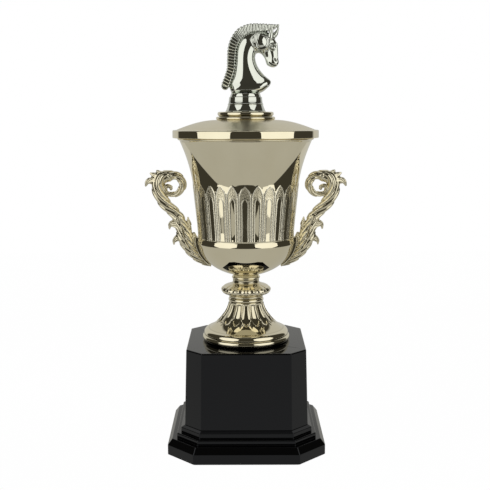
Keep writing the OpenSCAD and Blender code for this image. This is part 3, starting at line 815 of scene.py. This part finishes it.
for lobe in (((33, 57, 4.0), (41, 59.6, 2.9), (45.4, 61.9, 1.1)),
             ((31, 57.5, 4.2), (36.5, 61.4, 3.0), (39.3, 64.2, 1.1)),
             ((28, 58, 4.0), (31.0, 61.6, 2.8), (32.2, 63.8, 1.1)),
             ((38, 53, 4.8), (44.5, 55.2, 3.5), (48.8, 53.4, 2.2), (50.6, 49.9, 0.8))):
    carve.add(carve.stroke(at_cup(*lobe), 0.95, 0.55, 9.0, 1.3), 0.9)

# %% [markdown]
# The lower leaf is broad with two hooked lobes on its outer edge, a spur
# that points up beside the arm, and a tail that runs under the cup. Scaly
# ribs cover it all.

# %% Leaf, veins and pad
for part, blend in (
        (((19.4, 19, 5.6), (16.2, 11, 6.2), (13.4, 1.5, 7.6), (10.6, -7.5, 6.4), (5.6, -15.6, 5.0),
          (-0.5, -21.9, 3.6), (-6.5, -26.2, 2.1), (-11.6, -28.6, 0.8)), 1.2),
        (((17, 9, 4.2), (23.2, 13.0, 3.6), (27.3, 12.2, 2.2), (28.1, 8.2, 0.8)), 1.0),
        (((13, 0, 4.4), (19.6, -0.9, 3.3), (23.6, -3.6, 1.9), (24.0, -7.2, 0.7)), 1.0),
        (((10, 6, 3.6), (9.4, 12, 2.6), (10.0, 19.2, 0.7)), 1.0),
        (((7, -8, 4.6), (4.6, -1.5, 3.2), (4.2, 3.4, 1.4)), 1.0)):
    carve.add(carve.stroke(at_cup(*part), 0.8, 0.8, 9.0, 1.6), blend)
veins = carve.along(bent(at_cup((20, 19, 1), (15, 8, 1), (11.5, -5, 1), (3, -18, 1), (-9, -27.5, 1))))
carve.cut((np.hypot(veins[1][:, None], (np.abs(carve.Y) - 5.2)) - 0.7).astype(np.float32), 0.5)

radius = np.hypot(carve.X[:, None], carve.Y)
level = carve.Z[:, None]
wall = cup_radius(np.clip(carve.Z, z_floor, None))[:, None]
lean = np.where(carve.Z < z_cup - 4, 0.75, 1.0)[:, None]
pad = np.maximum(np.abs(radius - wall - 1.4) - 2.0,
                 np.maximum(np.abs(carve.Y) - 4.6, np.abs(level - (z_cup - 13.5)) - 13.5))
carve.add(pad.astype(np.float32), 1.2)
carve.cut(((radius - wall - 0.1) * lean).astype(np.float32), 0.15)

# %% Both handles
points, faces = carve.mesh()
print("handle reach, mm:", points.min(0).round(1), points.max(0).round(1))
add_piece("handle_right_casting", points, faces, "cup", "gold_casting", ["handle_right"], gold_casting)
mirrored = points * (-1, 1, 1)
add_piece("handle_left_casting", mirrored, [f[:, ::-1] for f in faces], "cup", "gold_casting",
          ["handle_left"], gold_casting)

# %% [markdown]
# ## The lid
#
# The lid is a spun sheet like the cup: a deep rim that hides the cup's
# mouth, a straight slope and a flat top. The collar on it is two stacked
# rings with a dark gap between them. A thin ring under the lid keeps it
# centred in the mouth.

# %% Lid, ring and collar
lid_r, z_dome = high("lid")[0], high("lid")[2]
z_band = low("lid")[2]
z_lid = z_mouth + 1
brim = lid_r - 2.85
stud_hole = high("finial_stud")[0] + 0.3
turn = brim - (z_dome - z_lid) / 0.365
dome = curve((brim - 1.2, z_lid + 0.42), (brim - 14, z_lid + 5.6), (turn, z_dome - 0.2),
             (min(0.42 * lid_r, turn - 6), z_dome), 40)
lid = np.vstack([
    arc(lid_r - 0.5, z_band + 0.5, 0.5, 180, 360, 9),
    [(lid_r, z_band + 0.7), (lid_r, z_lid - 1.3)], arc(lid_r - 1.0, z_lid - 1.0, 1.0, 4, 86, 9),
    [(lid_r - 1.3, z_lid), (brim + 0.4, z_lid + 0.02), (brim - 0.1, z_lid + 0.1), (brim - 0.6, z_lid + 0.25)],
    dome,
    [(stud_hole, z_dome), (stud_hole, z_dome - 1)],
    (dome - (0, 1))[::-1], [(brim, z_mouth), (lid_r - 1, z_mouth), (lid_r - 1, z_band + 0.7)]])
gold_lid = plating("gold_lid", GOLD, GOLD_DEEP, (0.02, 0.05), 0.02, satin_above=z_lid + 0.1)
add_piece("lid_shell", *turned(lid, 256), "lid", "gold_sheet", ["lid"], gold_lid)

ring_r, ring_low, ring_high = high("locating_ring")[0], low("locating_ring")[2], high("locating_ring")[2]
ring = rounded([(ring_r - 0.5, ring_low, 0.3), (ring_r, ring_low + 0.8, 0.3), (ring_r, ring_high, 0.2),
                (ring_r - 1, ring_high, 0.2), (ring_r - 1, ring_low, 0.3)])
add_piece("lid_ring", *turned(ring, 192), "lid", "gold_sheet", ["locating_ring"], gold_sheet)

collar_r = high("collar")[0]
z_pedestal = high("collar")[2]
gap_z = z_dome + 3.2
collar = np.vstack([
    [(stud_hole, z_dome), (collar_r - 0.9, z_dome)],
    arc(collar_r - 1.6, z_dome + 1.6, 1.6, -64, 78, 14),
    [(collar_r - 2.4, gap_z + 0.05), (collar_r - 2.9, gap_z + 0.1), (collar_r - 2.9, gap_z + 0.5)],
    arc(collar_r - 2.9, gap_z + 2.1, 1.4, -72, 0, 8), arc(collar_r - 2.9, z_pedestal - 1.5, 1.4, 4, 88, 10),
    [(collar_r - 3.2, z_pedestal), (stud_hole, z_pedestal)]])
add_piece("collar_casting", *turned(collar, 192), "lid", "gold_casting", ["collar"], gold_casting)

# %% [markdown]
# ## The pedestal and the horse head
#
# The figure is one silvery casting on a small turned pedestal. The neck is
# smooth, so its outline and its big mirror-like sides matter; the mane is
# a comb of hair locks with a raised edge.

# %% Pedestal
z_horse = high("pedestal")[2]
ped_r = high("pedestal")[0]
ped_h = z_horse - z_pedestal
waist_p, top_p = ped_r - 2.6, ped_r - 5.6
pedestal = np.vstack([
    [(stud_hole, z_pedestal), (ped_r - 0.3, z_pedestal)],
    arc(ped_r - 0.4, z_pedestal + 0.4, 0.4, -80, 80, 7),
    curve((ped_r - 0.4, z_pedestal + 0.9), (ped_r - 1.3, z_pedestal + 0.16 * ped_h),
          (waist_p + 0.5, z_pedestal + 0.27 * ped_h), (waist_p, z_pedestal + 0.38 * ped_h), 14),
    arc(waist_p - 0.4, z_pedestal + 0.41 * ped_h, 0.65, -60, 60, 8),
    np.linspace((waist_p - 0.5, z_pedestal + 0.47 * ped_h), (waist_p - 1.0, z_pedestal + 0.75 * ped_h), 4),
    arc(waist_p - 1.5, z_pedestal + 0.77 * ped_h, 0.5, -10, 80, 6),
    curve((waist_p - 1.9, z_pedestal + 0.8 * ped_h), (top_p + 0.9, z_pedestal + 0.84 * ped_h),
          (top_p + 0.7, z_pedestal + 0.9 * ped_h), (top_p, z_horse), 10),
    [(stud_hole, z_horse)]])
add_piece("pedestal_casting", *turned(pedestal, 192), "finial", "silver_casting",
          ["pedestal"], silver_casting)

# %% Horse head: neck and head
horse_low, horse_high = low("horse_head"), high("horse_head")
fig = Field(horse_low[0] - 2, horse_high[0] + 2, horse_low[2] - 0.9, horse_high[2] + 2, 11.5, 0.33)


def at_neck(*chain):
    return [(x, z_horse + z, *rest) for x, z, *rest in chain]


neck = at_neck((-13, 0.2), (-4, -0.4), (6, -0.3), (15, 1.5), (20.6, 5.8), (24.0, 10.9), (17.5, 17.1),
               (12.6, 23.2), (9.9, 28.9), (9.2, 34.5), (11.5, 40), (20, 47), (21, 55), (8, 58.2),
               (-3, 54), (-9, 42.6), (-10.5, 28.9), (-12.5, 16.4), (-15.5, 7.7))
fig.add(fig.inflated(bent([*neck, neck[0]], 5)[:-1], 10.0), 1.0)
fig.add(fig.stroke(at_neck((-9, 3.2, 3.2), (0, 3.2, 3.4), (11, 4.0, 3.3), (19.5, 8.6, 2.4)), 2.4), 4.0)
fig.add(fig.blob(14.6, z_horse + 47.0, 0, 9.4, 9.6, 8.9), 3.5)
fig.add(fig.stroke(at_neck((17, 52, 6.0), (22.6, 46.5, 6.4), (25.4, 38, 5.4), (26.0, 29.8, 4.6)), 0.98), 2.2)
fig.add(fig.stroke(at_neck((16, 42.5, 4.6), (20.4, 35, 3.2), (22.6, 28.4, 2.9)), 1.05), 1.6)
fig.add(fig.blob(26.2, z_horse + 29.2, 1.6, 5.3, 5.0, 3.6), 1.4)

# %% [markdown]
# A horse reads by a few marks: the round cheek with its rim, the deep-set
# eye under a brow, the long straight nose bone, flared nostrils and the
# mouth line. Each is a small stroke, ball or cut on both sides.

# %% Horse head: marks
X, Z, Y = fig.X[:, None], fig.Z[:, None], np.abs(fig.Y)
cheek = np.hypot(X - 14.8, Z - z_horse - 47.2)
fig.add((np.hypot(cheek - 6.8, Y - 7.3) - 0.8).astype(np.float32), 1.4)
fig.add(fig.blob(26.2, z_horse + 42.0, 5.6, 2.0, 1.7, 1.6), 0.5)
for lid_line in (((22.8, 43.0, 0.7), (25.6, 45.3, 1.0), (28.8, 43.8, 0.7)),
                 ((23.2, 41.2, 0.5), (25.9, 39.6, 0.6), (28.4, 41.3, 0.5))):
    side, dist, rad, _ = fig.along(bent(at_neck(*lid_line)))
    fig.add((np.hypot(dist[:, None], Y - 5.9) - rad[:, None]).astype(np.float32), 0.7)
side, dist, rad, _ = fig.along(at_neck((27.6, 31.6, 1.1), (29.2, 29.8, 0.8)))
fig.cut((np.hypot(dist[:, None], Y - 5.0) - rad[:, None]).astype(np.float32), 0.6)
side, dist, rad, _ = fig.along(bent(at_neck((28.4, 25.6, 0.5), (25.4, 26.4, 0.55), (22.6, 28.6, 0.4))))
fig.cut((np.hypot(dist[:, None], np.maximum(3.0 - Y, 0)) - rad[:, None]).astype(np.float32), 0.5)
side, dist, rad, _ = fig.along(bent(at_neck((29.4, 46, 0.7), (29.6, 39, 0.8), (29.9, 33, 0.6))))
fig.add((np.hypot(dist[:, None], Y - 2.2) - rad[:, None]).astype(np.float32), 1.6)
for back_x in (0.0, 2.6, 5.2):
    strand = at_neck((9.6 + back_x * 0.6, 55.6, 0.5), (5.8 + back_x, 50.5, 0.8), (7.6 + back_x, 43.6, 0.5))
    side, dist, rad, _ = fig.along(bent(strand))
    fig.add((np.hypot(dist[:, None], Y - 8.1) - rad[:, None]).astype(np.float32), 0.8)

# %% Horse head: ears, forelock and mane
for sway in (-4.6, 4.6):
    k = np.hypot(fig.X[:, None] - 23.0 - 0.18 * (Z - z_horse - 50),
                 fig.Y - sway * (1 + 0.02 * (Z - z_horse - 50)))
    up = Z - z_horse - 50
    ear = k - 3.1 * np.sqrt(np.clip(1 - up / 11.4, 0, 1)) * smooth((up + 4) / 5)
    fig.add(np.maximum(ear, -up - 3).astype(np.float32) * 0.8, 0.9)
for tip_x, tip_z in ((31.2, 60.5), (29.6, 57.6)):
    fig.add(fig.stroke(at_neck((25.5, 52.5, 2.6), (28.6, 55.2, 1.9), (tip_x, tip_z, 0.7)),
                       1.2, 0.3, 2.0, 0.5), 0.9)
mane_line = bent(at_neck((-19.4, 6.8, 4.2), (-14.2, 21, 4.3), (-13.4, 31, 4.4), (-12.6, 41, 4.6),
                         (-9.6, 49.4, 4.8), (-4.0, 56.2, 5.0), (4.6, 60.0, 4.6), (14, 60.6, 4.2),
                         (23, 60.8, 3.4), (30.5, 62.3, 1.6)), 8)
side, dist, rad, along = fig.along(mane_line)
beat = along / 2.8 - 0.05 * side * dist
lock = 1 - np.abs(2 * (beat - np.floor(beat)) - 1)
groove = 1.3 * (1 - np.sqrt(1 - 0.97 * (1 - lock) ** 2)) * smooth((rad - dist + 2.5) / 1.5)
a, b = (dist - rad + 1.6)[:, None], Y - 5.2
comb = np.hypot(np.maximum(a, 0), np.maximum(b, 0)) + np.minimum(np.maximum(a, b), 0) - 1.6
fig.add((comb + groove[:, None] + 0.3).astype(np.float32), 0.5)
fig.cut((Z - z_horse - 0.02 + 0 * Y).astype(np.float32), 0.1)
fig.cut((high("horse_head")[2] - 0.1 - Z + 0 * Y).astype(np.float32), 0.4)
stud = np.maximum(np.hypot(fig.X[:, None], fig.Y) - high("finial_stud")[0] - 0.05,
                  Z - high("finial_stud")[2] - 0.5)
fig.cut(stud.astype(np.float32), 0.1)
points, faces = fig.mesh()
print("horse reach, mm:", points.min(0).round(1), points.max(0).round(1))
add_piece("horse_head_casting", points, faces, "finial", "silver_casting", ["horse_head"], silver_casting)

# %% [markdown]
# ## Rod, stud, nuts, washers and screws
#
# These are hidden until the lid comes off or the base is turned over, but
# they are what holds the trophy together. Threads are a helix cut into the
# ends of the rods; a hex nut is a chamfered disc with six flats taken off.


# %% Fastener shapes
def threaded(r, z0, z1, zones, pitch):
    """A rod whose ends are threaded; zones are (low, high) in mm."""
    body = [np.arange(a, b, pitch / 6) for a, b in zones]
    z = np.unique(np.concatenate([[z0 + 0.5, z1 - 0.5], *body]))
    z = z[(z >= z0 + 0.5) & (z <= z1 - 0.5)]
    outline = np.vstack([[(0.02, z0), (r - 0.6, z0)], np.stack([np.full(len(z), r), z], 1),
                         [(r - 0.6, z1), (0.02, z1)]])

    def relief(a, rr, zz):
        cut = np.zeros_like(zz, dtype=bool)
        for a0, b0 in zones:
            cut |= (zz > a0) & (zz < b0)
        saw = np.abs(2 * ((zz / pitch - a / (2 * math.pi)) % 1) - 1)
        return np.where(cut & (rr > r - 0.1), -0.55 * pitch * saw, 0), 0 * zz

    return turned(outline, 48, relief)


def nut(across, bore, z0, h):
    corner = across / 2 / math.cos(math.radians(30))
    c = 0.12 * across
    outline = rounded([(bore, z0, 0), (across / 2 - 0.1, z0, 0.1), (corner, z0 + c * 0.5, 0.1),
                       (corner, z0 + h - c * 0.5, 0.1), (across / 2 - 0.1, z0 + h, 0.1), (bore, z0 + h, 0)])

    def relief(a, rr, zz):
        six = (a + math.radians(30)) % math.radians(60) - math.radians(30)
        return np.minimum(0, across / 2 / np.cos(six) - rr), 0 * zz

    return turned(outline, 144, relief)


def washer(outer, bore, z0, h):
    return turned(rounded([(bore, z0, 0.1), (outer, z0, 0.3), (outer, z0 + h, 0.4), (bore, z0 + h, 0.1)]), 96)


# %% Rod, stud and their nuts
rod_r, rod_low, rod_high = high("tie_rod")[0], low("tie_rod")[2], high("tie_rod")[2]
rod_zones = ((rod_low, rod_low + 20), (rod_high - 20, rod_high))
add_piece("tie_rod_threaded", *threaded(rod_r - 0.02, rod_low, rod_high, rod_zones, 1.0),
          "cup", "zinc_steel", ["tie_rod"], zinc)
for name, node in (("base_nut_hex", "base_nut"), ("bowl_nut_hex", "bowl_nut"),
                   ("finial_nut_hex", "finial_nut")):
    body = "finial" if node.startswith("finial") else "cup"
    bore = high("finial_stud")[0] if body == "finial" else rod_r
    a, b = low(node), high(node)
    across = 2 * min(b[0], b[1])
    add_piece(name, *nut(across, bore, a[2] + 0.02, b[2] - a[2] - 0.04), body, "zinc_steel", [node], zinc)
for name, node in (("base_washer_flat", "base_washer"), ("bowl_washer_flat", "bowl_washer"),
                   ("finial_washer_flat", "finial_washer")):
    body = "finial" if node.startswith("finial") else "cup"
    bore = high("finial_stud")[0] + 0.2 if body == "finial" else rod_hole
    a, b = low(node), high(node)
    add_piece(name, *washer(b[0], bore, a[2], b[2] - a[2]), body, "zinc_steel", [node], zinc)
stud_low, stud_high = low("finial_stud")[2], high("finial_stud")[2]
add_piece("finial_stud_threaded",
          *threaded(high("finial_stud")[0] - 0.02, stud_low, stud_high, ((stud_low, stud_low + 9),), 0.8),
          "finial", "zinc_steel", ["finial_stud"], zinc)

# %% [markdown]
# Two screws hold each handle. They go through the cup from inside, square
# to its skin, into the casting, with a washer under each round head. The
# head has a cross recess.


# %% Handle screws
def screw(r):
    z0 = -SHEET - 0.95
    head = 1.9 * r
    outline = np.vstack([
        [(0.02, z0 - 1.8)], np.stack([np.linspace(0.1, 0.55, 8) * head, np.full(8, z0 - 1.8)], 1),
        curve((0.6 * head, z0 - 1.78), (0.9 * head, z0 - 1.6), (head, z0 - 1.0), (head, z0 - 0.1), 10),
        [(head, z0), (r, z0)], np.stack([np.full(30, r), np.linspace(z0 + 0.4, 5.2, 30)], 1),
        [(r * 0.4, 5.9), (0.02, 5.9)]])

    def relief(a, rr, zz):
        cross = np.minimum(np.abs(rr * np.cos(a)), np.abs(rr * np.sin(a))) < 0.16 * head
        deep = cross & (rr < 0.56 * head) & (zz < z0 - 1)
        saw = np.abs(2 * ((zz / 0.5 - a / (2 * math.pi)) % 1) - 1)
        shank = (zz > z0 + 0.3) & (rr > r * 0.9) & (zz < 5.5)
        return np.where(shank, -0.25 * saw, 0), np.where(deep, 0.9, 0)

    points, faces = turned(outline[::-1] * (1, 1), 96, relief)
    return points, [f[:, ::-1] for f in faces]


def place_screws(shape, side):
    """Copies a shape to both screw axes of one handle."""
    points, faces = shape
    all_points, all_faces = [], [[] for _ in faces]
    for z in (z_cup - 6.6, z_cup - 19.6):
        down = (z_cup - z) / 38
        tilt = math.atan2(2.4 / 38 * down**1.4, 1.8 / CUP_R * (cup_radius(z) / CUP_R) ** 0.8)
        turn_y = mathutils.Matrix.Rotation(math.pi / 2 + tilt, 3, "Y")
        moved = points @ np.array(turn_y).T + (float(cup_radius(z)), 0, z)
        offset = sum(len(p) for p in all_points)
        all_points.append(moved)
        for group, f in zip(all_faces, faces):
            group.append((f if side > 0 else f[:, ::-1]) + offset)
    return np.concatenate(all_points) * (side, 1, 1), [np.concatenate(g) for g in all_faces]


for side, word in ((1, "right"), (-1, "left")):
    add_piece(f"handle_{word}_screw_pair", *place_screws(screw(1.5), side), "cup", "zinc_steel",
              [f"handle_{word}_screws"], zinc)
    add_piece(f"handle_{word}_washer_pair", *place_screws(washer(3.45, 1.6, -SHEET - 0.95, 0.8), side),
              "cup", "zinc_steel", [f"handle_{word}_washers"], zinc)

# %% [markdown]
# ## The room
#
# A mirror shows its room, so the room is built for its reflections. Two
# big eight-sided soft boxes stand front left and front right, with a dark
# gap between them where the camera is. Behind the object, and straight
# above it, the room is light grey. The pale floor ends a little short of
# the camera, and that edge draws the dark shapes in the leaf band.


# %% Floor
def stage_object(name, points, faces, material):
    mesh = bpy.data.meshes.new(name)
    mesh.from_pydata(points, [], faces)
    mesh.materials.append(material)
    thing = bpy.data.objects.new(name, mesh)
    bpy.context.scene.collection.objects.link(thing)
    return thing


def glow(name, seen, mirrored, scale):
    """Shows one brightness to the camera and another to everything else."""
    finish = bpy.data.materials.new(name)
    finish.use_nodes = True
    nodes, links = finish.node_tree.nodes, finish.node_tree.links
    nodes.clear()
    out = nodes.new("ShaderNodeOutputMaterial")
    place = nodes.new("ShaderNodeTexCoord").outputs["Object"]
    cloud = noise(nodes, links, place, scale, 2.0)
    shaders = []
    for dim, bright in (mirrored, seen):
        light = nodes.new("ShaderNodeEmission")
        links.new(blend_colours(nodes, links, cloud, dim, bright), light.inputs["Color"])
        shaders.append(light.outputs[0])
    path = nodes.new("ShaderNodeLightPath")
    mix = nodes.new("ShaderNodeMixShader")
    links.new(path.outputs["Is Camera Ray"], mix.inputs[0])
    links.new(shaders[0], mix.inputs[1])
    links.new(shaders[1], mix.inputs[2])
    links.new(mix.outputs[0], out.inputs[0])
    return finish


WHITE = ((0.99, 0.99, 0.99), (1.0, 1.0, 1.0))
floor_finish = glow("pale_floor", WHITE, ((0.43, 0.425, 0.39), (0.47, 0.463, 0.425)), 3.0)
FLOOR_SIDE, FLOOR_FRONT, FLOOR_BACK = 0.68, -0.70, 1.2
floor_corners = [(-FLOOR_SIDE, FLOOR_FRONT, 0), (FLOOR_SIDE, FLOOR_FRONT, 0),
                 (FLOOR_SIDE, FLOOR_BACK, 0), (-FLOOR_SIDE, FLOOR_BACK, 0)]
stage_object("floor", floor_corners, [(0, 1, 2, 3)], floor_finish)

# %% Soft boxes
box_finish = glow("soft_box", WHITE, ((0.98, 0.97, 0.90), (1.16, 1.15, 1.07)), 1.5)
BOX_AWAY, BOX_HALF, BOX_TALL = 0.79, math.radians(28.5), 1.3
for sign in (-1, 1):
    azimuth = math.radians(49.5) * sign
    toward = mathutils.Vector((math.sin(azimuth), -math.cos(azimuth), 0))
    middle = toward * BOX_AWAY + mathutils.Vector((0, 0, BOX_AWAY * BOX_TALL * math.tan(BOX_HALF)))
    turn_to = toward.to_track_quat("Z", "Y")
    size = BOX_AWAY * math.tan(BOX_HALF) / math.cos(math.radians(22.5))
    ring_pts = [middle + turn_to @ mathutils.Vector((size * math.cos(t), BOX_TALL * size * math.sin(t), 0))
                for t in np.radians(np.arange(8) * 45 + 22.5)]
    word = "right" if sign > 0 else "left"
    softbox = stage_object(f"soft_box_{word}", ring_pts, [tuple(range(8))], box_finish)
    softbox.visible_camera = False

# %% World
world = bpy.data.worlds.new("room")
bpy.context.scene.world = world
world.use_nodes = True
wn, wl = world.node_tree.nodes, world.node_tree.links
wn.clear()
way = wn.new("ShaderNodeTexCoord").outputs["Generated"]
flat = wn.new("ShaderNodeVectorMath")
flat.operation = "MULTIPLY"
flat.inputs[1].default_value = (1, 1, 0)
wl.new(way, flat.inputs[0])
unit = wn.new("ShaderNodeVectorMath")
unit.operation = "NORMALIZE"
wl.new(flat.outputs[0], unit.inputs[0])
across, up = wn.new("ShaderNodeSeparateXYZ"), wn.new("ShaderNodeSeparateXYZ")
wl.new(unit.outputs[0], across.inputs[0])
wl.new(way, up.inputs[0])
behind = spread(wn, wl, across.outputs["Y"], 0, 1, 0.60, 0.68)
overhead = spread(wn, wl, up.outputs["Z"], 0, 1, 0.97, 0.99)
lit = wn.new("ShaderNodeMath")
lit.operation = "MAXIMUM"
wl.new(behind, lit.inputs[0])
wl.new(overhead, lit.inputs[1])
room = wn.new("ShaderNodeBackground")
wl.new(blend_colours(wn, wl, lit.outputs[0], (0.045, 0.042, 0.032), (0.56, 0.555, 0.52)), room.inputs[0])
paper = wn.new("ShaderNodeBackground")
paper.inputs[0].default_value = (1, 1, 1, 1)
path = wn.new("ShaderNodeLightPath")
mix = wn.new("ShaderNodeMixShader")
wl.new(path.outputs["Is Camera Ray"], mix.inputs[0])
wl.new(room.outputs[0], mix.inputs[1])
wl.new(paper.outputs[0], mix.inputs[2])
world_out = wn.new("ShaderNodeOutputWorld")
wl.new(mix.outputs[0], world_out.inputs[0])

# %% [markdown]
# ## The camera
#
# It stands at table distance a little above the middle of the cup, and
# looks slightly down. The view is left plain, with no film curve, so that
# the paper white stays white.

# %% Camera
lens = bpy.data.cameras.new("camera")
lens.lens, lens.sensor_width = 63.2, 36.0
camera = bpy.data.objects.new("camera", lens)
bpy.context.scene.collection.objects.link(camera)
camera.location = (-0.0009, -0.8318, 0.3193)
tip = mathutils.Euler((math.radians(90 - 8.48), 0, 0)).to_matrix()
camera.rotation_euler = (tip @ mathutils.Matrix.Rotation(math.radians(-0.15), 3, "Z")).to_euler()
bpy.context.scene.camera = camera
bpy.context.scene.view_settings.view_transform = "Standard"
bpy.context.scene.view_settings.look = "None"
